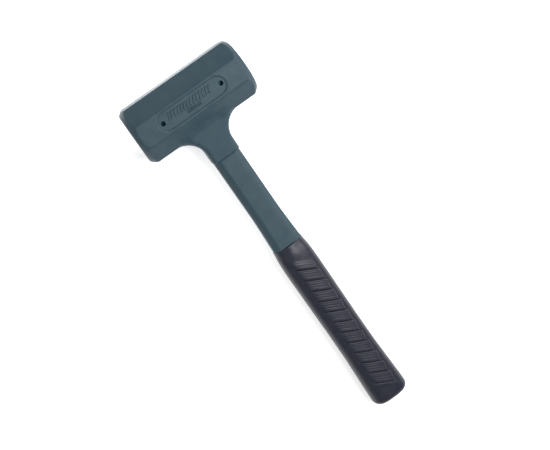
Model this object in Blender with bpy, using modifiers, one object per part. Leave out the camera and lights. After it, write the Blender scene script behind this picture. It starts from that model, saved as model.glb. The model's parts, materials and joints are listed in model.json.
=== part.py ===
"""Dead blow mallet: a moulded head on a canister of shot, a rod-cored handle and a rubber grip.

The mallet is drawn with its striking axis along X, its handle along -Y and the flat of its
front panel facing +Z, about the middle of the head. An empty then lays it down as it rests
on a bench: on one edge of the head's rear facet and on the underside of the butt.
"""

from math import atan, cos, pi, radians, sin, tan

import bmesh
import bpy
from mathutils import Matrix

OBJECT_NAME = "dead_blow_mallet"
GAP = 0.0003

# Head: an octagonal prism whose ends are chamfered by a cone, like a nut.
HEAD_LENGTH = 0.107
HEAD_ACROSS_FLATS = 0.050
FACE_DIAMETER = 0.0438
CHAMFER_RUN_PER_DROP = 1.08

# A shallow panel is sunk in the front and the rear, each with two mould-pin holes.
PANEL_LENGTH = 0.0674
PANEL_WIDTH = 0.0188
PANEL_DEPTH = 0.0006
PIN_HOLE_DIAMETER = 0.0038
PIN_HOLE_SPACING = 0.0562

# Neck, cast with the head. It thickens towards the head and its sides sweep into it.
NECK_WIDTH = 0.0255
NECK_END = 0.0539
NECK_END_THICKNESS = 0.0232
NECK_ROOT_THICKNESS = 0.0290
NECK_FILLET = 0.0184
NECK_CORNER = 0.0036
NECK_END_ROUNDING = 0.0018
NECK_ROOT_SINK = 0.0004
NECK_BURIED = 0.0065
NECK_ROOT_EDGE = 0.0165

# Sleeve on the handle, flaring to its foot.
SLEEVE_WIDTH = 0.0243
SLEEVE_FOOT_WIDTH = 0.0268
SLEEVE_THICKNESS = 0.0206
SLEEVE_FOOT_THICKNESS = 0.0222
SLEEVE_CORNER = 0.0046
SLEEVE_FLARE_START = 0.1120
SLEEVE_FLARE_MIDDLE = 0.42

# Rubber grip: distance below the head's axis, half width and half thickness.
GRIP_STATIONS = [
    (0.1455, 0.0138, 0.0119),
    (0.1500, 0.0146, 0.0125),
    (0.1580, 0.0154, 0.0131),
    (0.1700, 0.0156, 0.0133),
    (0.2000, 0.0154, 0.0131),
    (0.2300, 0.0152, 0.0129),
    (0.2600, 0.0154, 0.0131),
    (0.2850, 0.0163, 0.0139),
    (0.3030, 0.0170, 0.0145),
]
BUTT_END = 0.3120
BUTT_ROUNDING = 0.0060
BUTT_ROUNDING_STEPS = 4
GRIP_SQUARENESS = 2.6
GRIP_RING_POINTS = 28

# Steel inside the head and the handle.
CANISTER_LENGTH = 0.091
CANISTER_DIAMETER = 0.036
CANISTER_WALL = 0.0020
CAP_DEPTH = 0.0040
CAP_WALL = 0.0016
SOCKET_DIAMETER = 0.0170
SOCKET_END = 0.0310
ROD_DIAMETER = 0.0120
ROD_END = 0.3000
ROD_END_BEVEL = 0.0010

# Shot: a middle lane of balls with other lanes round it.
SHOT_DIAMETER = 0.0100
SHOT_PITCH = 0.0103
SHOT_PER_LANE = 6
OUTER_LANES = 6

TURN_STEPS = 48
FILLET_STEPS = 6
CUT_MARGIN = 0.010
SMOOTH_ANGLE = radians(40)

# Worked out from the sizes above.
HEAD_HALF = HEAD_ACROSS_FLATS / 2
HEAD_CORNER_RADIUS = HEAD_HALF / cos(pi / 8)
FACET_HALF = HEAD_HALF * tan(pi / 8)
CANISTER_RADIUS = CANISTER_DIAMETER / 2
CANISTER_INSIDE = CANISTER_RADIUS - CANISTER_WALL
ROD_RADIUS = ROD_DIAMETER / 2
ROD_START = CANISTER_RADIUS + GAP
GRIP_START = GRIP_STATIONS[0][0]
ALONG_X = Matrix.Rotation(pi / 2, 4, "Y")
DOWN_HANDLE = Matrix.Rotation(pi / 2, 4, "X")
UPRIGHT = Matrix.Identity(4)


def make_material(name, color, roughness, metallic=0.0):
    """Return a Principled material."""
    material = bpy.data.materials.new(name)
    material.use_nodes = True
    shader = material.node_tree.nodes["Principled BSDF"]
    shader.inputs["Base Color"].default_value = (*color, 1)
    shader.inputs["Roughness"].default_value = roughness
    shader.inputs["Metallic"].default_value = metallic
    return material


def mesh_from(shape, name):
    """Turn a bmesh into a mesh shaded smooth, with its sharp edges kept."""
    mesh = bpy.data.meshes.new(name)
    shape.to_mesh(mesh)
    shape.free()
    mesh.shade_smooth()
    mesh.set_sharp_from_angle(angle=SMOOTH_ANGLE)
    return mesh


def prism(name, radius, length, segments=TURN_STEPS):
    """Return a closed prism or cylinder along Z, about the origin."""
    shape = bmesh.new()
    bmesh.ops.create_cone(
        shape, cap_ends=True, segments=segments, radius1=radius, radius2=radius, depth=length
    )
    return mesh_from(shape, name)


def outline(name, points, closed=True):
    """Return a profile of (radius, height) points in the XZ plane, for a Screw modifier."""
    shape = bmesh.new()
    corners = [shape.verts.new((radius, 0, height)) for radius, height in points]
    for start, end in zip(corners, corners[1:]):
        shape.edges.new((start, end))
    if closed:
        shape.edges.new((corners[-1], corners[0]))
    mesh = bpy.data.meshes.new(name)
    shape.to_mesh(mesh)
    shape.free()
    return mesh


def loft(name, rings):
    """Return a closed solid through rings that all have the same number of points."""
    shape = bmesh.new()
    loops = [[shape.verts.new(point) for point in ring] for ring in rings]
    for upper, lower in zip(loops, loops[1:]):
        for k, start in enumerate(upper):
            following = (k + 1) % len(upper)
            shape.faces.new((start, lower[k], lower[following], upper[following]))
    shape.faces.new(loops[0])
    shape.faces.new(loops[-1])
    bmesh.ops.recalc_face_normals(shape, faces=shape.faces)
    return mesh_from(shape, name)


def place(name, mesh, collection, parent, location=(0, 0, 0), turn=UPRIGHT):
    """Add a mesh to the scene under an empty, turned and then moved."""
    thing = bpy.data.objects.new(name, mesh)
    collection.objects.link(thing)
    thing.parent = parent
    thing.location = location
    thing.rotation_euler = turn.to_euler()
    return thing


def add_cutter(name, mesh, collection, parent, location=(0, 0, 0), turn=UPRIGHT):
    """Add a solid that only takes part in Boolean modifiers."""
    cutter = place(name, mesh, collection, parent, location, turn)
    cutter.hide_render = True
    cutter.display_type = "WIRE"
    return cutter


def screw(thing):
    """Turn an object's profile about its own Z."""
    modifier = thing.modifiers.new("turn", "SCREW")
    modifier.axis = "Z"
    modifier.steps = TURN_STEPS
    modifier.render_steps = TURN_STEPS
    modifier.use_merge_vertices = True
    modifier.merge_threshold = 0.00001
    modifier.use_smooth_shade = True


def combine(thing, operation, tools):
    """Join, cut or intersect an object with each of the tools."""
    for tool in tools:
        modifier = thing.modifiers.new(tool.name, "BOOLEAN")
        modifier.operation = operation
        modifier.solver = "EXACT"
        modifier.object = tool


def bevelled_ring(below, half_width, half_thickness, corner_across, corner_out):
    """Return a rectangle across the handle, its four corners bevelled."""
    quarter = [
        (half_width, half_thickness - corner_out),
        (half_width - corner_across, half_thickness),
    ]
    top = quarter + [(-x, z) for x, z in reversed(quarter)]
    bottom = [(-x, -z) for x, z in top]
    return [(x, -below, z) for x, z in top + bottom]


def oval_ring(below, half_width, half_thickness):
    """Return a squarish oval across the handle."""
    ring = []
    for k in range(GRIP_RING_POINTS):
        angle = 2 * pi * k / GRIP_RING_POINTS
        across = cos(angle)
        out = sin(angle)
        spread = abs(across) ** GRIP_SQUARENESS + abs(out) ** GRIP_SQUARENESS
        reach = spread ** (-1 / GRIP_SQUARENESS)
        ring.append((half_width * reach * across, -below, half_thickness * reach * out))
    return ring


def between(start, end, share):
    """Return the value a share of the way from start to end."""
    return start + (end - start) * share


def neck_half_thickness(below):
    """Half the neck's thickness, which grows from its end towards the head."""
    share = (NECK_END - below) / (NECK_END - HEAD_HALF)
    return between(NECK_END_THICKNESS, NECK_ROOT_THICKNESS, share) / 2


def neck_rings():
    """Rings from inside the head down to the neck's end, with the side fillets as arcs."""
    root = HEAD_HALF - NECK_ROOT_SINK
    buried = HEAD_HALF - NECK_BURIED
    root_half_width = NECK_WIDTH / 2 + NECK_FILLET
    rings = [
        bevelled_ring(
            buried,
            root_half_width + NECK_BURIED,
            neck_half_thickness(buried),
            NECK_FILLET,
            neck_half_thickness(buried) - NECK_ROOT_EDGE / 2,
        )
    ]
    for k in range(FILLET_STEPS, -1, -1):
        angle = pi / 2 * k / FILLET_STEPS
        spread = 1 - cos(angle)
        below = root + NECK_FILLET * (1 - sin(angle))
        root_corner = neck_half_thickness(below) - NECK_ROOT_EDGE / 2
        rings.append(
            bevelled_ring(
                below,
                NECK_WIDTH / 2 + NECK_FILLET * spread,
                neck_half_thickness(below),
                between(NECK_CORNER, NECK_FILLET, spread),
                between(NECK_CORNER, root_corner, spread),
            )
        )
    for share in (0, 0.5, 1):
        angle = pi / 2 * share
        inset = NECK_END_ROUNDING * (1 - cos(angle))
        below = NECK_END - NECK_END_ROUNDING * (1 - sin(angle))
        half_thickness = neck_half_thickness(below) - inset / 2
        rings.append(
            bevelled_ring(below, NECK_WIDTH / 2 - inset, half_thickness, NECK_CORNER, NECK_CORNER)
        )
    return rings


def sleeve_rings():
    """Rings of the sleeve: straight below the neck, then flaring to the foot."""
    top = NECK_END + GAP
    foot = GRIP_START - GAP
    middle = (SLEEVE_FLARE_START + foot) / 2
    stations = [(top, 0), (SLEEVE_FLARE_START, 0), (middle, SLEEVE_FLARE_MIDDLE), (foot, 1)]
    return [
        bevelled_ring(
            below,
            between(SLEEVE_WIDTH, SLEEVE_FOOT_WIDTH, flare) / 2,
            between(SLEEVE_THICKNESS, SLEEVE_FOOT_THICKNESS, flare) / 2,
            SLEEVE_CORNER,
            SLEEVE_CORNER,
        )
        for below, flare in stations
    ]


def grip_sections():
    """The grip's stations, and then those of its butt's rounded edge."""
    half_width, half_thickness = GRIP_STATIONS[-1][1:]
    sections = list(GRIP_STATIONS)
    for k in range(BUTT_ROUNDING_STEPS + 1):
        angle = pi / 2 * k / BUTT_ROUNDING_STEPS
        inset = BUTT_ROUNDING * (1 - cos(angle))
        below = BUTT_END - BUTT_ROUNDING * (1 - sin(angle))
        sections.append((below, half_width - inset, half_thickness - inset))
    return sections


def panel_mesh():
    """A stadium-shaped block that sinks a panel: a cylinder pulled apart along X."""
    shape = bmesh.new()
    end_radius = PANEL_WIDTH / 2
    bmesh.ops.create_cone(
        shape,
        cap_ends=True,
        segments=TURN_STEPS // 2,
        radius1=end_radius,
        radius2=end_radius,
        depth=2 * PANEL_DEPTH,
        matrix=Matrix.Rotation(pi * 2 / TURN_STEPS, 4, "Z"),
    )
    stretch = PANEL_LENGTH / 2 - end_radius
    for corner in shape.verts:
        corner.co.x += stretch if corner.co.x > 0 else -stretch
    return mesh_from(shape, "panel")


def make_head(materials, parts, cutters, mallet):
    """The head and neck, hollowed for the steel inside."""
    drop = HEAD_CORNER_RADIUS - FACE_DIAMETER / 2 + GAP
    half = HEAD_LENGTH / 2
    shoulder = half - drop * CHAMFER_RUN_PER_DROP
    rim = FACE_DIAMETER / 2
    cone = [
        (0, half),
        (rim, half),
        (rim + drop, shoulder),
        (rim + drop, -shoulder),
        (rim, -half),
        (0, -half),
    ]
    # Half a step of twist keeps the cones' edges off the octagon's.
    twist = ALONG_X @ Matrix.Rotation(pi / TURN_STEPS, 4, "Z")
    cone_mesh = outline("end_cones", cone, closed=False)
    cone_tool = add_cutter("end_cones", cone_mesh, cutters, mallet, turn=twist)
    screw(cone_tool)

    octagon = prism("head_moulding", HEAD_CORNER_RADIUS, HEAD_LENGTH + CUT_MARGIN, segments=8)
    octagon.transform(ALONG_X @ Matrix.Rotation(pi / 8, 4, "Z"))
    octagon.materials.append(materials["head"])
    head = place("head_moulding", octagon, parts, mallet)
    combine(head, "INTERSECT", [cone_tool])
    combine(head, "UNION", [add_cutter("neck", loft("neck", neck_rings()), cutters, mallet)])

    tools = []
    panel = panel_mesh()
    for side, name in ((1, "front_panel"), (-1, "rear_panel")):
        tools.append(add_cutter(name, panel, cutters, mallet, location=(0, 0, side * HEAD_HALF)))
    pin_hole = prism("pin_hole", PIN_HOLE_DIAMETER / 2, HEAD_ACROSS_FLATS + CUT_MARGIN, TURN_STEPS // 3)
    for side, name in ((-1, "pin_hole_left"), (1, "pin_hole_right")):
        tools.append(add_cutter(name, pin_hole, cutters, mallet, (side * PIN_HOLE_SPACING / 2, 0, 0)))
    canister_space = prism("canister_space", CANISTER_RADIUS + GAP, CANISTER_LENGTH + 2 * GAP)
    tools.append(add_cutter("canister_space", canister_space, cutters, mallet, turn=ALONG_X))
    socket_space = prism("socket_space", SOCKET_DIAMETER / 2 + GAP, SOCKET_END + GAP)
    middle = (0, -(SOCKET_END + GAP) / 2, 0)
    tools.append(add_cutter("socket_space", socket_space, cutters, mallet, middle, DOWN_HANDLE))
    rod_space = prism("rod_space", ROD_RADIUS + GAP, NECK_END + CUT_MARGIN)
    middle = (0, -(NECK_END + CUT_MARGIN) / 2, 0)
    tools.append(add_cutter("rod_space", rod_space, cutters, mallet, middle, DOWN_HANDLE))
    combine(head, "DIFFERENCE", tools)


def make_handle(materials, parts, cutters, mallet):
    """The sleeve, the grip and the rod that both are cast on."""
    bore_depth = ROD_END + GAP
    middle = (0, -bore_depth / 2, 0)
    bore = prism("rod_bore", ROD_RADIUS + GAP, bore_depth)
    bore_tool = add_cutter("rod_bore", bore, cutters, mallet, middle, DOWN_HANDLE)
    grip_rings = [oval_ring(*section) for section in grip_sections()]
    for name, rings in (("handle_sleeve", sleeve_rings()), ("grip", grip_rings)):
        mesh = loft(name, rings)
        mesh.materials.append(materials[name])
        combine(place(name, mesh, parts, mallet), "DIFFERENCE", [bore_tool])

    rod_mesh = prism("handle_rod", ROD_RADIUS, ROD_END - ROD_START)
    rod_mesh.materials.append(materials["rod"])
    rod = place("handle_rod", rod_mesh, parts, mallet, (0, -(ROD_START + ROD_END) / 2, 0), DOWN_HANDLE)
    bevel = rod.modifiers.new("end_bevel", "BEVEL")
    bevel.width = ROD_END_BEVEL
    bevel.segments = 1
    bevel.limit_method = "ANGLE"
    bevel.angle_limit = pi / 4


def make_canister(materials, parts, cutters, mallet):
    """The shot canister: a tube, two pressed caps and the collar that takes the rod."""
    half = CANISTER_LENGTH / 2
    wall = [
        (CANISTER_RADIUS, half),
        (CANISTER_RADIUS, -half),
        (CANISTER_INSIDE, -half),
        (CANISTER_INSIDE, half),
    ]
    tube_mesh = outline("canister_tube", wall)
    tube_mesh.materials.append(materials["canister"])
    screw(place("canister_tube", tube_mesh, parts, mallet, turn=ALONG_X))

    # A cap is a shallow cup that opens outwards, flush with the tube's end.
    outside = CANISTER_INSIDE - GAP
    cup = [
        (0, CAP_WALL),
        (outside - CAP_WALL, CAP_WALL),
        (outside - CAP_WALL, CAP_DEPTH),
        (outside, CAP_DEPTH),
        (outside, 0),
        (0, 0),
    ]
    cap_mesh = outline("canister_cap", cup, closed=False)
    cap_mesh.materials.append(materials["cap"])
    for side, name in ((-1, "canister_cap_left"), (1, "canister_cap_right")):
        facing = Matrix.Rotation(side * pi / 2, 4, "Y")
        screw(place(name, cap_mesh, parts, mallet, (side * (half - CAP_DEPTH), 0, 0), facing))

    socket_mesh = prism("rod_socket", SOCKET_DIAMETER / 2, SOCKET_END)
    socket_mesh.materials.append(materials["socket"])
    socket = place("rod_socket", socket_mesh, parts, mallet, (0, -SOCKET_END / 2, 0), DOWN_HANDLE)
    cope = prism("socket_cope", CANISTER_RADIUS + GAP, CANISTER_DIAMETER)
    bore = prism("socket_bore", ROD_RADIUS + GAP, SOCKET_END + CUT_MARGIN)
    bore_middle = (0, -(SOCKET_END + CUT_MARGIN) / 2, 0)
    tools = [
        add_cutter("socket_cope", cope, cutters, mallet, turn=ALONG_X),
        add_cutter("socket_bore", bore, cutters, mallet, bore_middle, DOWN_HANDLE),
    ]
    combine(socket, "DIFFERENCE", tools)


def make_shot(materials, parts, slide):
    """The shot, lane by lane, on the empty that slides along the striking axis."""
    shape = bmesh.new()
    bmesh.ops.create_icosphere(shape, subdivisions=2, radius=SHOT_DIAMETER / 2)
    ball = mesh_from(shape, "shot")
    ball.materials.append(materials["shot"])
    lanes = [(0, 0)]
    for k in range(OUTER_LANES):
        angle = 2 * pi * k / OUTER_LANES
        lanes.append((SHOT_PITCH * cos(angle), SHOT_PITCH * sin(angle)))
    number = 0
    for y, z in lanes:
        for k in range(SHOT_PER_LANE):
            number += 1
            x = (k - (SHOT_PER_LANE - 1) / 2) * SHOT_PITCH
            place(f"shot_{number:02d}", ball, parts, slide, (x, y, z))


def lay_down(mallet):
    """Lay the mallet on the bench, with the middle of its box over the origin."""
    # The rest line runs from the rear facet's lower edge to the lowest part of the butt.
    sections = grip_sections()
    tilt = atan(min((HEAD_HALF - thick) / (below - FACET_HALF) for below, wide, thick in sections))
    crown = HEAD_HALF * cos(tilt) + FACET_HALF * sin(tilt)
    butt = -max(below * cos(tilt) + thick * sin(tilt) for below, wide, thick in sections)
    rest = -FACET_HALF * sin(tilt) - HEAD_HALF * cos(tilt)
    mallet.rotation_euler = (tilt, 0, 0)
    mallet.location = (0, -(crown + butt) / 2, -rest)


def make_mallet():
    """Build the whole model in an empty scene."""
    for thing in list(bpy.data.objects):
        bpy.data.objects.remove(thing)
    parts = bpy.data.collections.new(OBJECT_NAME)
    cutters = bpy.data.collections.new("cutters")
    bpy.context.scene.collection.children.link(parts)
    bpy.context.scene.collection.children.link(cutters)

    mallet = bpy.data.objects.new("mallet", None)
    parts.objects.link(mallet)
    slide = bpy.data.objects.new("shot_slide", None)
    parts.objects.link(slide)
    slide.parent = mallet
    lay_down(mallet)

    materials = {
        "head": make_material("head_polyurethane", (0.075, 0.118, 0.140), 0.48),
        "handle_sleeve": make_material("sleeve_polyurethane", (0.075, 0.118, 0.140), 0.48),
        "grip": make_material("grip_rubber", (0.040, 0.040, 0.055), 0.55),
        "canister": make_material("canister_steel", (0.42, 0.42, 0.43), 0.38, 1.0),
        "cap": make_material("cap_steel", (0.46, 0.46, 0.47), 0.34, 1.0),
        "socket": make_material("socket_steel", (0.36, 0.36, 0.37), 0.45, 1.0),
        "rod": make_material("rod_steel", (0.40, 0.40, 0.42), 0.40, 1.0),
        "shot": make_material("shot_steel", (0.34, 0.34, 0.35), 0.42, 1.0),
    }
    make_head(materials, parts, cutters, mallet)
    make_handle(materials, parts, cutters, mallet)
    make_canister(materials, parts, cutters, mallet)
    make_shot(materials, parts, slide)


make_mallet()
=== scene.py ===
"""The finished look of the dead blow mallet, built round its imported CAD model.

The moulded head, the sleeve and the grip are modelled again in fine detail, in the mallet's
own axes: X along the head, Y from the butt to the crown, Z out of the front panel, with the
origin in the middle of the head. LAY takes those axes to where the CAD model lies.
"""

import json
import math
from itertools import product

import bmesh
import bpy
import numpy as np
from mathutils import Euler, Matrix, Vector
from mathutils.noise import turbulence


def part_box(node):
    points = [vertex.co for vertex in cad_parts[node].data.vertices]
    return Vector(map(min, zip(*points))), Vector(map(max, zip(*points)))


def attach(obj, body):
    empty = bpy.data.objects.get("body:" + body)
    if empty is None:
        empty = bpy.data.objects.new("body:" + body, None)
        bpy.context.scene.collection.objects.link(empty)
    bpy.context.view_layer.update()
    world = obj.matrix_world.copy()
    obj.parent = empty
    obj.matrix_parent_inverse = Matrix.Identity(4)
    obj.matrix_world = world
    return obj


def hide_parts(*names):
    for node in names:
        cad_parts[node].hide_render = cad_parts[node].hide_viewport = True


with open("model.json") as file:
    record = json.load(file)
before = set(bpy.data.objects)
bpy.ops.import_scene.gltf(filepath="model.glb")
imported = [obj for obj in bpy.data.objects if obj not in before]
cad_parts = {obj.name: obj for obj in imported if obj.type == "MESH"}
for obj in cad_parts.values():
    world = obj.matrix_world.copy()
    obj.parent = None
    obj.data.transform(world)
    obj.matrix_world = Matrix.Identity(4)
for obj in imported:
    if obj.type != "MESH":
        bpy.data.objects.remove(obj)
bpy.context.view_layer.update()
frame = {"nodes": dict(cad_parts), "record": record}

# ---------------------------------------------------------------- the mallet's own axes

MOUNTS = {mount["name"]: mount for mount in frame["record"]["mounts"]}


def mount_place(name):
    """Where a mount is."""
    return Vector(MOUNTS[name]["pos_m"])


def mount_axis(name):
    """Which way a mount faces."""
    return Vector(MOUNTS[name]["axis"]).normalized()


def mallet_axes():
    """The matrix from the mallet's own axes to where it lies."""
    faces = [mount_place("striking_face_left"), mount_place("striking_face_right")]
    across = mount_axis("striking_face_right")
    up = mount_axis("front_facet")
    along = up.cross(across)
    matrix = Matrix((across, along, up)).transposed().to_4x4()
    matrix.translation = (faces[0] + faces[1]) / 2
    return matrix


LAY = mallet_axes()


def own_box(node):
    """A CAD node's lowest and highest corners in the mallet's own axes."""
    back = LAY.inverted()
    places = np.array([back @ vertex.co for vertex in frame["nodes"][node].data.vertices])
    return places.min(0), places.max(0)


HEAD_LOW, HEAD_HIGH = own_box("head_moulding")
SLEEVE_LOW, SLEEVE_HIGH = own_box("handle_sleeve")
GRIP_LOW, GRIP_HIGH = own_box("grip")
ROD_LOW, ROD_HIGH = own_box("handle_rod")
CANISTER_HIGH = own_box("canister_tube")[1]
SOCKET_LOW, SOCKET_HIGH = own_box("rod_socket")

# Gap between neighbouring pieces in the CAD, and the one drawn at the handle's two seams.
GAP = 0.0003
SEAM_GAP = 0.00005
HEAD_HALF_LENGTH = float(HEAD_HIGH[0])
HEAD_HALF = float(HEAD_HIGH[1])
NECK_END = -float(HEAD_LOW[1])
CANISTER_RADIUS = float(CANISTER_HIGH[1])
CANISTER_HALF_LENGTH = float(CANISTER_HIGH[0])
SOCKET_RADIUS = float(SOCKET_HIGH[0])
SOCKET_END = -float(SOCKET_LOW[1])
ROD_RADIUS = float(ROD_HIGH[0])
ROD_END = -float(ROD_LOW[1])

# ---------------------------------------------------------------- solids from distance fields

SETTLING_ROUNDS = 3
# How far from a point its slope is measured, and the least slope that a move counts on.
SLOPE_REACH = 0.00008
LEAST_SLOPE = 0.5
CORNERS = np.array(list(product((0, 1), repeat=3)))
CELL_EDGES = [
    (p, q)
    for p, q in product(range(8), repeat=2)
    if p < q and abs(CORNERS[p] - CORNERS[q]).sum() == 1
]


def soft_max(a, b, reach):
    """The larger of two fields, with the crease between them rounded off over a reach."""
    blend = np.maximum(reach - np.abs(a - b), 0) / reach
    return np.maximum(a, b) + blend * blend * reach / 4


def filleted_union(a, b, radius):
    """Two solids joined with a round fillet of a radius."""
    within = np.hypot(np.maximum(radius - a, 0), np.maximum(radius - b, 0))
    return np.maximum(radius, np.minimum(a, b)) - within


def ramp(value, start, end):
    """A smooth step from 0 at start to 1 at end."""
    share = np.clip((value - start) / (end - start), 0, 1)
    return share * share * (3 - 2 * share)


def ridge(value, middle, width):
    """A smooth bump of height 1 and of about a width."""
    return np.exp(-(((value - middle) / (width / 2)) ** 2))


def around(places, field, reach):
    """The field at a reach from each point, both ways along the three axes."""
    values = []
    for axis in range(3):
        shift = np.zeros(3)
        shift[axis] = reach
        values.append([field(*(places + shift).T), field(*(places - shift).T)])
    return np.array(values)


def slopes(places, field):
    """The field's slope at points."""
    values = around(places, field, SLOPE_REACH)
    return ((values[:, 0] - values[:, 1]) / (2 * SLOPE_REACH)).T


def settle(places, field, step):
    """Move points along the field's slope until they lie on its surface."""
    for _ in range(SETTLING_ROUNDS):
        slope = slopes(places, field)
        move = field(*places.T) / np.maximum((slope**2).sum(1), LEAST_SLOPE**2)
        places = places - np.clip(move, -step, step)[:, None] * slope
    return places


def net(field, low, high, step):
    """Points and four-sided faces on the surface where a field is zero.

    Each grid cell that the surface passes through holds one point, and each grid edge that
    it crosses makes one face between the four cells round that edge.
    """
    counts = [math.ceil((b - a) / step) + 1 for a, b in zip(low, high)]
    axes = [a + step * np.arange(n, dtype=np.float32) for a, n in zip(low, counts)]
    samples = field(*np.meshgrid(*axes, indexing="ij", sparse=True))
    inside = samples < 0
    filled = sum(
        inside[i : i + counts[0] - 1, j : j + counts[1] - 1, k : k + counts[2] - 1].astype(np.int8)
        for i, j, k in CORNERS
    )
    cells = np.argwhere((filled > 0) & (filled < len(CORNERS)))
    number = np.full(filled.shape, -1, np.int32)
    number[tuple(cells.T)] = np.arange(len(cells))

    values = np.stack([samples[tuple((cells + corner).T)] for corner in CORNERS], 1)
    total = np.zeros((len(cells), 3))
    crossings = np.zeros(len(cells))
    for p, q in CELL_EDGES:
        crossed = (values[:, p] < 0) != (values[:, q] < 0)
        fall = np.where(crossed, values[:, p] - values[:, q], 1)
        share = np.where(crossed, values[:, p] / fall, 0)
        total += crossed[:, None] * (CORNERS[p] + share[:, None] * (CORNERS[q] - CORNERS[p]))
        crossings += crossed
    places = np.array(low) + step * (cells + total / crossings[:, None])

    faces = []
    for axis in range(3):
        first = np.take(inside, range(counts[axis] - 1), axis)
        second = np.take(inside, range(1, counts[axis]), axis)
        edges = np.argwhere(first != second)
        leaving = first[tuple(edges.T)]
        step_u = np.eye(3, dtype=int)[(axis + 1) % 3]
        step_v = np.eye(3, dtype=int)[(axis + 2) % 3]
        ring = [edges - step_u - step_v, edges - step_v, edges, edges - step_u]
        quads = np.stack([number[tuple(cell.T)] for cell in ring], 1)
        faces.append(np.where(leaving[:, None], quads, quads[:, ::-1]))
    return settle(places, field, step), np.vstack(faces)


# ---------------------------------------------------------------- pieces

FLAT_ANGLE = math.radians(0.5)
# How far from a point the edge attribute looks, and its value on a flat surface.
EDGE_REACH = 0.0008
EDGE_FLAT = 0.5
# A merged face is larger than this many grid cells.
MERGED_CELLS = 6
NET_MARGIN_STEPS = 3
LEAST_LENGTH = 0.01


def add_piece(name, places, faces, body="mallet"):
    """Add a piece from points in the mallet's own axes, and let it ride on a body."""
    mesh = bpy.data.meshes.new(name)
    mesh.from_pydata(places.tolist(), [], faces.tolist())
    mesh.shade_smooth()
    piece = bpy.data.objects.new(name, mesh)
    bpy.context.scene.collection.objects.link(piece)
    piece.matrix_world = LAY
    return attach(piece, body)


def merge_flats(piece):
    """Merge neighbouring faces that lie in one plane."""
    flats = piece.modifiers.new("flats", "DECIMATE")
    flats.decimate_type = "DISSOLVE"
    flats.angle_limit = FLAT_ANGLE
    bpy.context.view_layer.update()
    made = piece.evaluated_get(bpy.context.evaluated_depsgraph_get())
    finished = bpy.data.meshes.new_from_object(made)
    piece.modifiers.clear()
    piece.data = finished


def note_edges(piece, field, step):
    """Give a piece the field's own normals, and note where its edges and hollows are.

    The attribute edge is above EDGE_FLAT on an outer edge and below it in a hollow. Merged
    flat faces keep one normal all over.
    """
    mesh = piece.data
    places = np.array([vertex.co for vertex in mesh.vertices])
    slope = slopes(places, field)
    normals = slope / np.maximum(np.linalg.norm(slope, axis=1), LEAST_LENGTH)[:, None]
    bend = around(places, field, EDGE_REACH).sum((0, 1)) / EDGE_REACH
    corners = np.array([corner.vertex_index for corner in mesh.loops])
    sizes = [face.loop_total for face in mesh.polygons]
    merged = np.repeat([face.area > MERGED_CELLS * step**2 for face in mesh.polygons], sizes)
    face_normals = np.repeat([face.normal for face in mesh.polygons], sizes, 0)
    corner_normals = np.where(merged[:, None], face_normals, normals[corners])
    mesh.normals_split_custom_set(corner_normals.tolist())
    edge = mesh.attributes.new("edge", "FLOAT", "CORNER")
    sharpness = np.clip(EDGE_FLAT + bend / 2, 0, 1)[corners]
    edge.data.foreach_set("value", np.where(merged, EDGE_FLAT, sharpness))


def moulded(name, field, low, high, step, node, slot):
    """A moulded piece on the surface of a field, which stands for a CAD node."""
    step = step * 1
    margin = NET_MARGIN_STEPS * step
    places, faces = net(field, low - margin, high + margin, step)
    piece = add_piece(name, places, faces)
    merge_flats(piece)
    note_edges(piece, field, step)
    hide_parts(node)
    return piece


# ---------------------------------------------------------------- head and neck

HEAD_STEP = 0.00045
FACE_RADIUS = 0.0219
CHAMFER_RUN_PER_DROP = 1.08
FACET_EDGE = 0.0007
CHAMFER_EDGE = 0.0008
RIM_EDGE = 0.0012
NECK_HALF_WIDTH = 0.01275
NECK_END_HALF_THICKNESS = 0.0116
NECK_ROOT_HALF_THICKNESS = 0.0145
# The neck's thickening is 1 at the head's lower side, and stops at this.
NECK_ROOT_SHARE = 1.2
NECK_CORNER = 0.0040
NECK_END_EDGE = 0.0016
SIDE_FILLET = 0.0184
# The fillet to the lower facets, in the middle and out at the flanks.
FRONT_FILLET = 0.0028
FLANK_FILLET = 0.0070
FLANK_START = 0.0110
FLANK_END = 0.0230
FACET_COVER = 0.00004
# Out in the web the neck thins, until it is buried in the head.
WEB_FALL = 0.0075
WEB_FALL_START = 0.0150
WEB_END = 0.0305
WEB_BURIED = 0.0400
WEB_TOP = 0.0140
PANEL_RADIUS = 0.0094
PANEL_STRAIGHT = 0.0337 - PANEL_RADIUS
PANEL_DEPTH = 0.00060
PANEL_WALL = 0.0010
GROOVE_IN = 0.0016
GROOVE_WIDTH = 0.0011
GROOVE_DEPTH = 0.00005
BEAD_WIDTH = 0.0013
BEAD_HEIGHT = 0.00007
PIN_HOLE_OUT = 0.0281
PIN_HOLE_RADIUS = 0.0019
PIN_HOLE_EDGE = 0.0004
PARTING_WIDTH = 0.0009
PARTING_HEIGHT = 0.00008
# Rows of raised bars on the panel: middle x, middle y, half length, half height, pitch, half
# width of a bar and slant.
HATCH_ROWS = [
    (-0.0015, 0.0021, 0.0200, 0.0028, 0.0030, 0.00080, 0.40),
    (0.0, -0.0034, 0.0064, 0.0012, 0.0014, 0.00040, 0.0),
]
HATCH_HEIGHT = 0.00052
HATCH_EDGE = 0.0004


def hatch_height(x, y):
    """How far the bars on the panel stand up at a place."""
    height = 0
    for middle_x, middle_y, half_length, half_height, pitch, half_width, slant in HATCH_ROWS:
        along = x - middle_x - slant * (y - middle_y)
        bar = np.abs((along / pitch) % 1 - 0.5) * pitch - half_width
        row = np.maximum(np.abs(along) - half_length, np.abs(y - middle_y) - half_height)
        within = -np.maximum(bar, row)
        height = height + HATCH_HEIGHT * ramp(within, -HATCH_EDGE / 2, HATCH_EDGE / 2)
    return height


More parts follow.
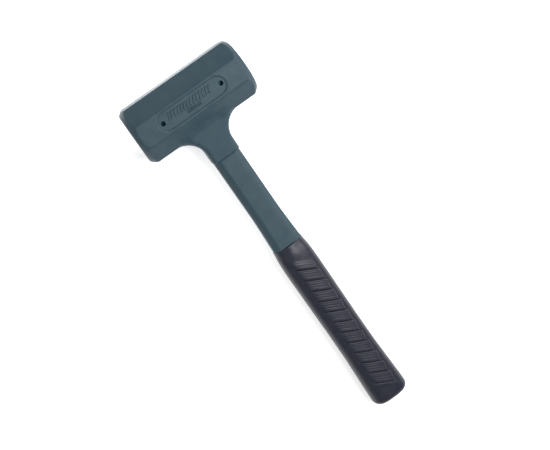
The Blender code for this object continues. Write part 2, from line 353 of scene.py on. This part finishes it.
def panel_relief(x, y):
    """How far the front facet stands up at a place: its bead, its groove and the panel."""
    edge = np.hypot(np.maximum(np.abs(x) - PANEL_STRAIGHT, 0), y) - PANEL_RADIUS
    bead = BEAD_HEIGHT * ridge(edge, 0, BEAD_WIDTH)
    groove = GROOVE_DEPTH * ridge(edge, -GROOVE_IN, GROOVE_WIDTH)
    sunk = PANEL_DEPTH * ramp(edge, PANEL_WALL / 2 - GROOVE_IN, -PANEL_WALL / 2 - GROOVE_IN)
    inside = ramp(edge, -GROOVE_IN, -GROOVE_IN - GROOVE_WIDTH)
    return bead - groove - sunk + inside * hatch_height(x, y)


def barrel_field(x, y, z):
    """The octagonal head with its chamfered ends."""
    front = np.abs(z) - panel_relief(x, y)
    diagonal = (np.abs(y) + np.abs(z)) * math.sqrt(0.5)
    flats = soft_max(soft_max(np.abs(y), front, FACET_EDGE), diagonal, FACET_EDGE) - HEAD_HALF
    past_face = np.abs(x) - HEAD_HALF_LENGTH
    cone = past_face + CHAMFER_RUN_PER_DROP * (np.hypot(y, z) - FACE_RADIUS)
    cone = cone / math.hypot(1, CHAMFER_RUN_PER_DROP)
    return soft_max(soft_max(flats, cone, CHAMFER_EDGE), past_face, RIM_EDGE)


def rounded_slab(wide, thick, corner):
    """A solid within two fields, with a round corner between them."""
    wide = wide + corner
    thick = thick + corner
    outside = np.hypot(np.maximum(wide, 0), np.maximum(thick, 0))
    return outside + np.minimum(np.maximum(wide, thick), 0) - corner


def neck_field(x, y, z):
    """The neck, which flares and thickens towards the head and blends into its lower facets."""
    outline = filleted_union(np.abs(x) - NECK_HALF_WIDTH, -HEAD_HALF - y, SIDE_FILLET)
    share = np.clip((NECK_END + y) / (NECK_END - HEAD_HALF), 0, NECK_ROOT_SHARE)
    thickening = NECK_ROOT_HALF_THICKNESS - NECK_END_HALF_THICKNESS
    half_thickness = NECK_END_HALF_THICKNESS + share * thickening
    half_thickness = half_thickness - WEB_FALL * ramp(np.abs(x), WEB_FALL_START, WEB_END)
    facet = (np.abs(z) - y) * math.sqrt(0.5) - HEAD_HALF + FACET_COVER
    blend = FRONT_FILLET + (FLANK_FILLET - FRONT_FILLET) * ramp(np.abs(x), FLANK_START, FLANK_END)
    front = filleted_union(facet, np.abs(z) - half_thickness, blend)
    slab = rounded_slab(outline, front, NECK_CORNER)
    return np.maximum(slab, np.maximum(np.abs(x) - WEB_BURIED, y + WEB_TOP))


def head_field(x, y, z):
    """The whole casting: the head, the neck, the panels and the spaces for the steel."""
    solid = np.minimum(barrel_field(x, y, z), neck_field(x, y, z))
    solid = soft_max(solid, -y - NECK_END, NECK_END_EDGE)
    solid = solid - PARTING_HEIGHT * ridge(z, 0, PARTING_WIDTH)
    pin_hole = np.hypot(np.abs(x) - PIN_HOLE_OUT, y) - PIN_HOLE_RADIUS
    solid = soft_max(solid, -pin_hole, PIN_HOLE_EDGE)
    steel = np.maximum(welded_socket(x, y, z), np.abs(x) - CANISTER_HALF_LENGTH) - GAP
    rod = np.maximum(np.hypot(x, z) - ROD_RADIUS - GAP, y)
    return np.maximum(solid, -np.minimum(steel, rod))


def make_head():
    """The moulded head with its neck."""
    box = (HEAD_LOW, HEAD_HIGH)
    return moulded("head_body", head_field, *box, HEAD_STEP, "head_moulding", "polyurethane")


# ---------------------------------------------------------------- sleeve

SLEEVE_STEP = 0.0005
SLEEVE_HALF_WIDTH = 0.01215
SLEEVE_HALF_THICKNESS = 0.0103
SLEEVE_CORNER = 0.0046
SLEEVE_EDGE = 0.0010
SLEEVE_END_EDGE = 0.0004
SLEEVE_FLARE_START = 0.1120
SLEEVE_FLARE_CURVE = 1.25
SLEEVE_FOOT = -float(SLEEVE_LOW[1])
SLEEVE_FOOT_HALF_WIDTH = float(SLEEVE_HIGH[0])
SLEEVE_FOOT_HALF_THICKNESS = float(SLEEVE_HIGH[2])


def sleeve_field(x, y, z):
    """The sleeve round the rod: a box with bevelled corners, which flares at its foot."""
    share = np.clip((-y - SLEEVE_FLARE_START) / (SLEEVE_FOOT - SLEEVE_FLARE_START), 0, 1)
    share = share**SLEEVE_FLARE_CURVE
    half_width = SLEEVE_HALF_WIDTH + share * (SLEEVE_FOOT_HALF_WIDTH - SLEEVE_HALF_WIDTH)
    thickening = SLEEVE_FOOT_HALF_THICKNESS - SLEEVE_HALF_THICKNESS
    half_thickness = SLEEVE_HALF_THICKNESS + share * thickening
    wide = np.abs(x) - half_width
    thick = np.abs(z) - half_thickness
    bevel = (wide + thick + SLEEVE_CORNER) * math.sqrt(0.5)
    section = soft_max(soft_max(wide, thick, SLEEVE_EDGE), bevel, SLEEVE_EDGE)
    section = section - PARTING_HEIGHT * ridge(z, 0, PARTING_WIDTH)
    ends = np.maximum(y - SLEEVE_HIGH[1] - GAP + SEAM_GAP, SLEEVE_LOW[1] - y)
    solid = soft_max(section, ends, SLEEVE_END_EDGE)
    return np.maximum(solid, ROD_RADIUS + GAP - np.hypot(x, z))


def make_sleeve():
    """The sleeve between the head and the grip."""
    box = (SLEEVE_LOW, SLEEVE_HIGH)
    return moulded("sleeve_body", sleeve_field, *box, SLEEVE_STEP, "handle_sleeve", "polyurethane")


# ---------------------------------------------------------------- grip

GRIP_STEP = 0.0005
# Exponent of the rounded section at the top and from the pad down.
TOP_SQUARENESS = 2.15
GRIP_SQUARENESS = 2.6
# How far below the head's middle, half width and half thickness.
GRIP_STATIONS = np.array(
    [
        (0.1455, 0.0138, 0.0119),
        (0.1500, 0.0146, 0.0127),
        (0.1560, 0.0153, 0.0132),
        (0.1700, 0.0156, 0.0133),
        (0.2000, 0.0154, 0.0131),
        (0.2300, 0.0152, 0.0129),
        (0.2600, 0.0154, 0.0131),
        (0.2850, 0.0163, 0.0139),
        (0.3030, 0.0170, 0.0145),
        (0.3120, 0.0170, 0.0145),
    ]
)
STATION_BLEND = 0.005
STATION_SAMPLES = 7
GRIP_TOP_EDGE = 0.0006
BUTT_ROUNDING = 0.0060
# The pad with slanted ribs on the front and the back.
PAD_TOP = 0.1625
PAD_END = 0.2960
PAD_HALF_WIDTH = 0.0095
PAD_LEFT = 0.0075
PAD_SAW = 0.0016
PAD_LIFT = 0.0003
PAD_EDGE = 0.0008
PAD_SOFT_SHARE = 0.25
PAD_END_SHARE = 0.12
RIB_PITCH = 0.0112
RIB_SLOPE = 0.554
RIB_FIRST = 0.1700
RIB_GROOVE_WIDTH = 0.0012
RIB_GROOVE_DEPTH = 0.0009
RIB_LEAN = 0.0005
FINE_PITCH = 0.0024
FINE_DEPTH = 0.00010
FINE_START = 0.20
FINE_END = 0.66
FINE_INSET = 0.0022
FINE_FADE = 0.0006
PAD_BORDER_WIDTH = 0.0012
PAD_BORDER_DEPTH = 0.00012
# The pad fades in between these shares of the way round from the side to the front.
PAD_FACING_START = 0.5
PAD_FACING_END = 0.8
CENTRE_LINE = 1e-6


def smooth_profile(below, column):
    """A half size of the grip at a distance below the head, with its stations blended."""
    shifts = np.linspace(-STATION_BLEND, STATION_BLEND, STATION_SAMPLES)
    stations, sizes = GRIP_STATIONS[:, 0], GRIP_STATIONS[:, column]
    return sum(np.interp(below + shift, stations, sizes) for shift in shifts) / len(shifts)


def rib_relief(x, y):
    """How far the ribbed pad stands up at a place."""
    below = -y
    place = ((below - RIB_FIRST - RIB_SLOPE * x) / RIB_PITCH) % 1
    from_groove = (np.abs(place - 0.5) - 0.5) * RIB_PITCH
    groove = RIB_GROOVE_DEPTH * ridge(from_groove, 0, RIB_GROOVE_WIDTH)
    lean = RIB_LEAN * place

    fine = FINE_DEPTH * (0.5 + 0.5 * np.cos(2 * math.pi * place * RIB_PITCH / FINE_PITCH))
    past = np.maximum(np.abs(place - (FINE_START + FINE_END) / 2) - (FINE_END - FINE_START) / 2, 0)
    fine = fine * np.exp(-((past * RIB_PITCH / FINE_FADE) ** 2))
    fine = fine * ramp(np.abs(x), PAD_HALF_WIDTH - FINE_INSET / 2, PAD_HALF_WIDTH - FINE_INSET)

    saw = PAD_SAW * (0.5 - place)
    side = np.maximum(x - PAD_HALF_WIDTH - saw, PAD_SOFT_SHARE * (-x - PAD_LEFT - saw))
    end = np.maximum(PAD_TOP - below + RIB_SLOPE * x, below - PAD_END - RIB_SLOPE * x)
    inside = ramp(np.maximum(side, PAD_END_SHARE * end), PAD_EDGE / 2, -PAD_EDGE / 2)
    border = PAD_BORDER_DEPTH * ridge(side, PAD_BORDER_WIDTH / 2, PAD_BORDER_WIDTH)
    border = border * ramp(x, 0, PAD_HALF_WIDTH / 2) * ramp(end, PAD_EDGE, -PAD_EDGE)
    return inside * (PAD_LIFT + lean - groove - fine) - border


def grip_field(x, y, z):
    """The rubber grip, which swells to the butt."""
    below = -y
    half_width = smooth_profile(below, 1)
    half_thickness = smooth_profile(below, 2)
    p = TOP_SQUARENESS + (GRIP_SQUARENESS - TOP_SQUARENESS) * ramp(below, -GRIP_HIGH[1], PAD_TOP)
    across = np.maximum(np.abs(x), CENTRE_LINE) / half_width
    through = np.maximum(np.abs(z), CENTRE_LINE) / half_thickness
    ring = (across**p + through**p) ** (1 / p)
    steep_across = (across / ring) ** (p - 1) / half_width
    steep_through = (through / ring) ** (p - 1) / half_thickness
    section = (ring - 1) / np.hypot(steep_across, steep_through)
    facing = ramp(through / ring, PAD_FACING_START, PAD_FACING_END)
    section = section - facing * rib_relief(x * np.ones_like(z), y)
    section = section - PARTING_HEIGHT * ridge(z, 0, PARTING_WIDTH)
    solid = rounded_slab(section, GRIP_LOW[1] - y, BUTT_ROUNDING)
    solid = soft_max(solid, y - GRIP_HIGH[1] - GAP + SEAM_GAP, GRIP_TOP_EDGE)
    bore = np.maximum(np.hypot(x, z) - ROD_RADIUS, -y - ROD_END) - GAP
    return np.maximum(solid, -bore)


def make_grip():
    """The rubber grip."""
    return moulded("grip_body", grip_field, GRIP_LOW, GRIP_HIGH, GRIP_STEP, "grip", "grip_rubber")


# ---------------------------------------------------------------- steel inside

TURN_STEPS = 96
EDGE_SEGMENTS = 3
SHARP_ANGLE = math.radians(35)
MERGE_DISTANCE = 0.00001
SOCKET_STEP = 0.0004
WELD_FILLET = 0.0012
CANISTER_WALL = 0.0020
CANISTER_EDGE = 0.0005
CAP_LOW, CAP_HIGH = own_box("canister_cap_left")
CAP_DEPTH = float(CAP_HIGH[0] - CAP_LOW[0])
CAP_RADIUS = float(CAP_HIGH[1])
CAP_WALL = 0.0016
CAP_EDGE = 0.0007
ROD_TOP = -float(ROD_HIGH[1])
ROD_EDGE = 0.0010
SHOT_LUMPS = 0.05
SHOT_LUMP_PITCH = 1.3
# How much further each ball is turned than the one before, about X, Y and Z in radians.
SHOT_TURN = (2.1, 1.3, 0.7)
ALONG_X = Matrix.Rotation(math.pi / 2, 4, "Y")
DOWN_HANDLE = Matrix.Rotation(math.pi / 2, 4, "X")


def turned(name, profile, closed, place, edge, node, slot):
    """A turned piece from a profile of radii and heights, which runs down its outer side."""
    mesh = bpy.data.meshes.new(name)
    count = len(profile)
    edges = [(k, (k + 1) % count) for k in range(count if closed else count - 1)]
    mesh.from_pydata([(radius, 0, height) for radius, height in profile], edges, [])
    piece = bpy.data.objects.new(name, mesh)
    bpy.context.scene.collection.objects.link(piece)
    turn = piece.modifiers.new("turn", "SCREW")
    turn.steps = TURN_STEPS
    turn.render_steps = TURN_STEPS
    turn.use_merge_vertices = True
    turn.merge_threshold = MERGE_DISTANCE
    bevel = piece.modifiers.new("edges", "BEVEL")
    bevel.width = edge
    bevel.segments = EDGE_SEGMENTS
    bevel.angle_limit = SHARP_ANGLE
    bpy.context.view_layer.update()
    made = piece.evaluated_get(bpy.context.evaluated_depsgraph_get())
    piece.data = bpy.data.meshes.new_from_object(made)
    piece.modifiers.clear()
    piece.data.shade_smooth()
    piece.data.set_sharp_from_angle(angle=SHARP_ANGLE)
    piece.matrix_world = LAY @ place
    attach(piece, "mallet")
    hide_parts(node)
    return piece


def make_tube():
    """The canister's tube, with its edges rounded."""
    outside = CANISTER_RADIUS
    inside = CANISTER_RADIUS - CANISTER_WALL
    half = CANISTER_HALF_LENGTH
    wall = [(outside, half), (outside, -half), (inside, -half), (inside, half)]
    made_of = ("canister_tube", "canister_steel")
    return turned("tube_drawn", wall, True, ALONG_X, CANISTER_EDGE, *made_of)


def make_cap(side, name, node):
    """A pressed cap, a shallow cup that opens outwards."""
    inside = CAP_RADIUS - CAP_WALL
    cup = [
        (0, CAP_WALL),
        (inside, CAP_WALL),
        (inside, CAP_DEPTH),
        (CAP_RADIUS, CAP_DEPTH),
        (CAP_RADIUS, 0),
        (0, 0),
    ]
    place = Matrix.Translation((side * (CANISTER_HALF_LENGTH - CAP_DEPTH), 0, 0))
    facing = place @ Matrix.Rotation(side * math.pi / 2, 4, "Y")
    return turned(name, cup, False, facing, CAP_EDGE, node, "canister_steel")


def make_rod():
    """The handle's rod, with its ends bevelled."""
    rod = [(0, -ROD_TOP), (ROD_RADIUS, -ROD_TOP), (ROD_RADIUS, -ROD_END), (0, -ROD_END)]
    upright = DOWN_HANDLE.inverted()
    return turned("rod_drawn", rod, False, upright, ROD_EDGE, "handle_rod", "rod_steel")


def welded_socket(x, y, z):
    """The outside of the canister and the socket, with the weld between them."""
    canister = np.hypot(y, z) - CANISTER_RADIUS - GAP
    socket = np.maximum(np.hypot(x, z) - SOCKET_RADIUS, y)
    return np.maximum(filleted_union(canister, socket, WELD_FILLET), -y - SOCKET_END)


def socket_field(x, y, z):
    """The collar that takes the rod, cut to the canister's round side."""
    outside = np.maximum(welded_socket(x, y, z), CANISTER_RADIUS + GAP - np.hypot(y, z))
    outside = np.maximum(outside, np.hypot(x, z) - SOCKET_RADIUS - WELD_FILLET)
    return np.maximum(outside, ROD_RADIUS + GAP - np.hypot(x, z))


def make_socket():
    """The collar with its weld."""
    box = (SOCKET_LOW, SOCKET_HIGH)
    return moulded("socket_welded", socket_field, *box, SOCKET_STEP, "rod_socket", "rod_steel")


def make_shot():
    """Cast steel balls, no two turned alike, in the places of the CAD model's balls."""
    shape = bmesh.new()
    bmesh.ops.create_icosphere(shape, subdivisions=3, radius=1)
    for vertex in shape.verts:
        lump = turbulence(vertex.co * SHOT_LUMP_PITCH, 2, False) - 0.5
        vertex.co *= 1 - SHOT_LUMPS * max(lump, 0)
    mesh = bpy.data.meshes.new("cast_ball")
    shape.to_mesh(mesh)
    mesh.shade_smooth()
    nodes = sorted(name for name in frame["nodes"] if name.startswith("shot_"))
    balls = []
    for number, node in enumerate(nodes):
        low, high = (Vector(corner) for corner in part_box(node))
        ball = bpy.data.objects.new(node.replace("shot", "ball"), mesh)
        bpy.context.scene.collection.objects.link(ball)
        turn = Euler([number * angle for angle in SHOT_TURN]).to_matrix().to_4x4()
        radius = (high.x - low.x) / 2
        ball.matrix_world = Matrix.Translation((low + high) / 2) @ turn @ Matrix.Scale(radius, 4)
        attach(ball, "shot")
        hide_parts(node)
        balls.append(ball)
    return balls


# ---------------------------------------------------------------- materials

# A Mix node's sockets for the share and the two colours, and its colour's output.
MIX_INPUTS = (0, 6, 7)
MIX_OUTPUT = 2
# Ranges of the edge attribute over which outer edges turn paler, as wear and a painted highlight,
# and hollows darker, as painted shade.
WEAR_AND_HIGHLIGHT_EDGE = (0.56, 0.80)
SHADED_HOLLOW = (0.44, 0.25)
# Ranges of a noise's value over which each pattern comes in.
MOTTLE_RANGE = (0.35, 0.65)
SCUFF_RANGE = (0.40, 0.70)
SHEEN_RANGE = (0.3, 0.7)
PATCH_RANGE = (0.35, 0.7)

# Base colour, flow marks, paler edges (wear and a painted highlight) and hollow colour (painted
# shade) of the polyurethane, and how far the paler edges and the painted shade show.
POLYURETHANE_BASE = (0.030, 0.060, 0.080)
POLYURETHANE_LIGHT = (0.036, 0.068, 0.086)
POLYURETHANE_WORN_HIGHLIGHT = (0.070, 0.110, 0.130)
POLYURETHANE_HOLLOW_SHADE = (0.016, 0.032, 0.044)
POLYURETHANE_WEAR_HIGHLIGHT_SHARE = 0.35
POLYURETHANE_HOLLOW_SHADE_SHARE = 0.25
POLYURETHANE_ROUGHNESS = (0.42, 0.52)
LEAST_SCUFF = 0.25
# Size in metres and detail of the polyurethane's noises.
FLOW_MARKS = (0.009, 4.0)
SCUFFS = (0.0016, 5.0)
SHEEN = (0.004, 4.0)
PEEL = (0.0035, 2.0)
GRAIN = (0.00035, 3.0)
# Depth in metres and strength of its bumps.
PEEL_BUMP = (0.00010, 0.5)
GRAIN_BUMP = (0.00003, 0.5)

# The same for the grip's rubber, whose paler edges are wear and a painted highlight and whose
# hollow colour is painted shade.
RUBBER_BASE = (0.009, 0.011, 0.025)
RUBBER_LIGHT = (0.014, 0.016, 0.030)
RUBBER_WORN_HIGHLIGHT = (0.042, 0.042, 0.056)
RUBBER_HOLLOW_SHADE = (0.007, 0.007, 0.011)
RUBBER_WEAR_HIGHLIGHT_SHARE = 0.15
RUBBER_HOLLOW_SHADE_SHARE = 0.8
RUBBER_ROUGHNESS = (0.33, 0.44)
RUBBER_MOTTLE = (0.006, 4.0)
RUBBER_SHEEN = (0.003, 4.0)
RUBBER_GRAIN = (0.0005, 3.0)
RUBBER_BUMP = (0.00005, 0.7)
# Where along the handle the grip's skin turns smooth, and its roughness against the pad's.
SMOOTH_BAND = (-0.164, -0.155)
SMOOTH_SHARE = 0.80

# Darkest and brightest colour, roughness and stretch of the streaks of each steel.
CANISTER_SCALE = ((0.009, 0.034, 0.060), (0.030, 0.080, 0.125), 0.50, (1, 1, 1))
ROD_SKIN = ((0.30, 0.30, 0.31), (0.45, 0.45, 0.46), 0.35, (1, 0.05, 1))
SHOT_SKIN = ((0.20, 0.20, 0.21), (0.42, 0.42, 0.43), 0.40, (1, 1, 1))
STEEL_PATCHES = (0.006, 5.0)
STEEL_STREAKS = (0.0006, 3.0)
STEEL_BUMP = (0.00003, 0.5)
STEEL_SMOOTHER = 0.06
STEEL_ROUGHER = 0.08


def feed(tree, socket, value):
    """Link a value to a socket, or set it there."""
    if isinstance(value, bpy.types.NodeSocket):
        tree.links.new(value, socket)
    else:
        socket.default_value = value


def add_node(tree, kind, inputs, **settings):
    """Add a shader node, with each input linked or set, and return its first output."""
    made = tree.nodes.new("ShaderNode" + kind)
    for name, value in settings.items():
        setattr(made, name, value)
    for name, value in inputs.items():
        feed(tree, made.inputs[name], value)
    return made.outputs[0]


def noise(tree, size, detail=2.0, stretch=(1, 1, 1)):
    """Noise with features of a size in metres, between 0 and 1."""
    coordinates = tree.nodes.new("ShaderNodeTexCoord").outputs["Object"]
    scaled = add_node(tree, "Mapping", {"Vector": coordinates, "Scale": stretch})
    return add_node(tree, "TexNoise", {"Vector": scaled, "Scale": 1 / size, "Detail": detail})


def remap(tree, value, low, high, to_low=0.0, to_high=1.0):
    """A value moved from one range to another, and kept within it."""
    inputs = {"Value": value, "From Min": low, "From Max": high}
    inputs.update({"To Min": to_low, "To Max": to_high})
    return add_node(tree, "MapRange", inputs)


def multiply(tree, a, b):
    """The product of two values."""
    return add_node(tree, "Math", {0: a, 1: b}, operation="MULTIPLY")


def mix_color(tree, share, a, b):
    """A colour between two."""
    made = tree.nodes.new("ShaderNodeMix")
    made.data_type = "RGBA"
    for number, value in zip(MIX_INPUTS, (share, a, b)):
        feed(tree, made.inputs[number], value)
    return made.outputs[MIX_OUTPUT]


def bump(tree, height, distance, strength=1.0, normal=None):
    """A normal bent by a height from 0 to 1 over a distance in metres."""
    inputs = {"Height": height, "Distance": distance, "Strength": strength}
    if normal is not None:
        inputs["Normal"] = normal
    return add_node(tree, "Bump", inputs)


def along_handle(tree):
    """A place's Y in the mallet's own axes."""
    split = tree.nodes.new("ShaderNodeSeparateXYZ")
    coordinates = tree.nodes.new("ShaderNodeTexCoord").outputs["Object"]
    tree.links.new(coordinates, split.inputs["Vector"])
    return split.outputs["Y"]


def edge_value(tree):
    """The attribute edge, which is above EDGE_FLAT on outer edges and below it in hollows."""
    attribute = tree.nodes.new("ShaderNodeAttribute")
    attribute.attribute_name = "edge"
    return attribute.outputs["Fac"]


def new_material(name, **uniform):
    """A material with a Principled shader, whose uniform values are set on its own sockets."""
    material = bpy.data.materials.new(name)
    material.use_nodes = True
    shader = material.node_tree.nodes["Principled BSDF"]
    for socket, value in uniform.items():
        shader.inputs[socket.replace("_", " ")].default_value = value
    return material, material.node_tree, shader


def wire(tree, shader, **links):
    """Link values to a shader's sockets."""
    for socket, value in links.items():
        tree.links.new(value, shader.inputs[socket.replace("_", " ")])


def mottled_worn_and_painted_light(tree, mottle, base, light, wear_and_highlight, worn_highlight_color, hollow_shade, hollow_shade_color):
    """A mottled colour that is paler on outer edges, from wear and a painted highlight, and darker
    in hollows with painted shade.
    """
    color = mix_color(tree, mottle, (*base, 1), (*light, 1))
    color = mix_color(tree, wear_and_highlight, color, (*worn_highlight_color, 1))
    return mix_color(tree, hollow_shade, color, (*hollow_shade_color, 1))


def make_polyurethane():
    """Moulded grey-green polyurethane: a fine skin, faint flow marks, paler edges from wear and a
    painted highlight, and painted shade in its hollows.
    """
    uniform = {"Metallic": 0.0, "Specular_IOR_Level": 0.25}
    material, tree, shader = new_material("polyurethane_moulded", **uniform)
    mottle = remap(tree, noise(tree, *FLOW_MARKS), *MOTTLE_RANGE)
    edge = edge_value(tree)
    scuffs = remap(tree, noise(tree, *SCUFFS), *SCUFF_RANGE)
    scuffs = remap(tree, scuffs, 0.0, 1.0, LEAST_SCUFF, 1.0)
    # Paler outer edges: scuffed wear plus a painted highlight.
    wear_and_highlight = multiply(tree, remap(tree, edge, *WEAR_AND_HIGHLIGHT_EDGE), scuffs)
    wear_and_highlight = multiply(tree, wear_and_highlight, POLYURETHANE_WEAR_HIGHLIGHT_SHARE)
    # Darker hollows: painted shade.
    hollow_shade = multiply(tree, remap(tree, edge, *SHADED_HOLLOW), POLYURETHANE_HOLLOW_SHADE_SHARE)
    marked = (mottle, POLYURETHANE_BASE, POLYURETHANE_LIGHT)
    color = mottled_worn_and_painted_light(tree, *marked, wear_and_highlight, POLYURETHANE_WORN_HIGHLIGHT, hollow_shade, POLYURETHANE_HOLLOW_SHADE)
    rough = remap(tree, noise(tree, *SHEEN), *SHEEN_RANGE, *POLYURETHANE_ROUGHNESS)
    peel = bump(tree, noise(tree, *PEEL), *PEEL_BUMP)
    skin = bump(tree, noise(tree, *GRAIN), *GRAIN_BUMP, peel)
    wire(tree, shader, Base_Color=color, Roughness=rough, Normal=skin)
    return material


def make_rubber():
    """Dark grip rubber with a fine matt grain, smoother in the plain band above the pad, with
    paler edges from wear and a painted highlight and painted shade in its hollows.
    """
    uniform = {"Metallic": 0.0, "Specular_IOR_Level": 0.40}
    material, tree, shader = new_material("grip_rubber_moulded", **uniform)
    mottle = remap(tree, noise(tree, *RUBBER_MOTTLE), *MOTTLE_RANGE)
    edge = edge_value(tree)
    # Paler outer edges: wear plus a painted highlight.
    wear_and_highlight = multiply(tree, remap(tree, edge, *WEAR_AND_HIGHLIGHT_EDGE), RUBBER_WEAR_HIGHLIGHT_SHARE)
    # Darker hollows: painted shade.
    hollow_shade = multiply(tree, remap(tree, edge, *SHADED_HOLLOW), RUBBER_HOLLOW_SHADE_SHARE)
    marked = (mottle, RUBBER_BASE, RUBBER_LIGHT)
    color = mottled_worn_and_painted_light(tree, *marked, wear_and_highlight, RUBBER_WORN_HIGHLIGHT, hollow_shade, RUBBER_HOLLOW_SHADE)
    rough = remap(tree, noise(tree, *RUBBER_SHEEN), *SHEEN_RANGE, *RUBBER_ROUGHNESS)
    smooth = remap(tree, along_handle(tree), *SMOOTH_BAND, 1.0, SMOOTH_SHARE)
    rough = multiply(tree, rough, smooth)
    skin = bump(tree, noise(tree, *RUBBER_GRAIN), *RUBBER_BUMP)
    wire(tree, shader, Base_Color=color, Roughness=rough, Normal=skin)
    return material


def make_steel(name, dark, bright, roughness, streak):
    """Steel with scale, streaks along a direction and uneven polish."""
    material, tree, shader = new_material(name, Metallic=1.0)
    patches = remap(tree, noise(tree, *STEEL_PATCHES), *PATCH_RANGE)
    color = mix_color(tree, patches, (*dark, 1), (*bright, 1))
    lines = noise(tree, *STEEL_STREAKS, streak)
    polish = (roughness - STEEL_SMOOTHER, roughness + STEEL_ROUGHER)
    rough = remap(tree, lines, *SHEEN_RANGE, *polish)
    skin = bump(tree, lines, *STEEL_BUMP)
    wire(tree, shader, Base_Color=color, Roughness=rough, Normal=skin)
    return material


def dress(piece, material):
    """Give a piece one material."""
    if piece.material_slots:
        for slot in piece.material_slots:
            slot.material = material
    else:
        piece.data.materials.append(material)


# ---------------------------------------------------------------- camera, light and floor

CAMERA_TARGET = Vector((0.0008, 0.0168, 0.020))
CAMERA_DISTANCE = 0.988
CAMERA_AZIMUTH = math.radians(196.91)
CAMERA_ELEVATION = math.radians(77.33)
CAMERA_ROLL = math.radians(127.81)
CAMERA_LENS = 76.95
SENSOR_WIDTH = 36

FLOOR_HALF = 3.0
FLOOR_WHITE = (0.92, 0.92, 0.92, 1)
WORLD_STRENGTH = 0.48
# Place, reach and strength of each soft glow on the floor.
GLOWS = [((0, 0, 0), 0.9, 0.62), ((0, 0.21, 0), 0.10, 3.6)]
# Place, width, length along Y and power of each softbox.
LAMPS = [
    ("right_softbox", (0.42, 0.08, 0.50), 0.35, 0.80, 3.6),
    ("left_softbox", (-0.85, 0.05, 1.10), 0.80, 1.20, 1.0),
    ("overhead_lamp", (0.25, 0.02, 1.50), 0.30, 0.30, 4.6),
]


def make_camera():
    """The camera looks down on the mallet from above its crown, turned so that the head leans."""
    flat = math.cos(CAMERA_ELEVATION)
    level = Vector((math.cos(CAMERA_AZIMUTH), math.sin(CAMERA_AZIMUTH), 0))
    back = Vector((level.y * flat, -level.x * flat, math.sin(CAMERA_ELEVATION)))
    upright = back.cross(level)
    right = level * math.cos(CAMERA_ROLL) + upright * math.sin(CAMERA_ROLL)
    up = back.cross(right)
    data = bpy.data.cameras.new("camera")
    data.lens = CAMERA_LENS
    data.sensor_width = SENSOR_WIDTH
    camera = bpy.data.objects.new("camera", data)
    bpy.context.scene.collection.objects.link(camera)
    matrix = Matrix((right, up, back)).transposed().to_4x4()
    matrix.translation = CAMERA_TARGET + back * CAMERA_DISTANCE
    camera.matrix_world = matrix
    bpy.context.scene.camera = camera


def add_softbox(name, place, width, length, power):
    """A softbox that faces the mallet, with its long side along the handle."""
    data = bpy.data.lights.new(name, "AREA")
    data.shape = "RECTANGLE"
    data.size = width
    data.size_y = length
    data.energy = power
    lamp = bpy.data.objects.new(name, data)
    bpy.context.scene.collection.objects.link(lamp)
    lamp.location = place
    lamp.rotation_euler = (Vector(place) - CAMERA_TARGET).to_track_quat("Z", "Y").to_euler()
    lamp.visible_camera = False


def floor_glow(tree, place, reach, strength):
    """A round glow on the floor that fades to nothing at its reach."""
    coordinates = tree.nodes.new("ShaderNodeTexCoord").outputs["Object"]
    shift = [-value / reach for value in place]
    mapping = {"Vector": coordinates, "Location": shift, "Scale": [1 / reach] * 3}
    scaled = add_node(tree, "Mapping", mapping)
    glow = tree.nodes.new("ShaderNodeTexGradient")
    glow.gradient_type = "SPHERICAL"
    tree.links.new(scaled, glow.inputs["Vector"])
    return remap(tree, glow.outputs["Fac"], 0.0, 1.0, 0.0, strength)


def make_stage():
    """A white floor that glows softly under the mallet, a grey world and soft lamps."""
    world = bpy.data.worlds.new("studio")
    bpy.context.scene.world = world
    world.use_nodes = True
    backdrop = world.node_tree.nodes["Background"]
    backdrop.inputs["Color"].default_value = (1, 1, 1, 1)
    backdrop.inputs["Strength"].default_value = WORLD_STRENGTH
    quarters = ((-1, -1), (1, -1), (1, 1), (-1, 1))
    corners = [(x * FLOOR_HALF, y * FLOOR_HALF, 0) for x, y in quarters]
    mesh = bpy.data.meshes.new("floor")
    mesh.from_pydata(corners, [], [(0, 1, 2, 3)])
    floor = bpy.data.objects.new("floor", mesh)
    bpy.context.scene.collection.objects.link(floor)
    material, tree, shader = new_material("floor_white", Roughness=0.9, Specular_IOR_Level=0.1)
    shader.inputs["Base Color"].default_value = FLOOR_WHITE
    shader.inputs["Emission Color"].default_value = (1, 1, 1, 1)
    glows = [floor_glow(tree, *glow) for glow in GLOWS]
    strength = add_node(tree, "Math", {0: glows[0], 1: glows[1]})
    wire(tree, shader, Emission_Strength=strength)
    mesh.materials.append(material)
    for lamp in LAMPS:
        add_softbox(*lamp)


# ---------------------------------------------------------------- making

polyurethane = make_polyurethane()
dress(make_head(), polyurethane)
dress(make_sleeve(), polyurethane)
dress(make_grip(), make_rubber())
canister_steel = make_steel("canister_steel_scaled", *CANISTER_SCALE)
rod_steel = make_steel("rod_steel_drawn", *ROD_SKIN)
shot_steel = make_steel("shot_steel_cast", *SHOT_SKIN)
dress(make_tube(), canister_steel)
dress(make_cap(-1, "cap_pressed_left", "canister_cap_left"), canister_steel)
dress(make_cap(1, "cap_pressed_right", "canister_cap_right"), canister_steel)
dress(make_socket(), rod_steel)
dress(make_rod(), rod_steel)
for ball in make_shot():
    dress(ball, shot_steel)
bpy.context.scene.view_settings.view_transform = "Standard"
make_camera()
make_stage()
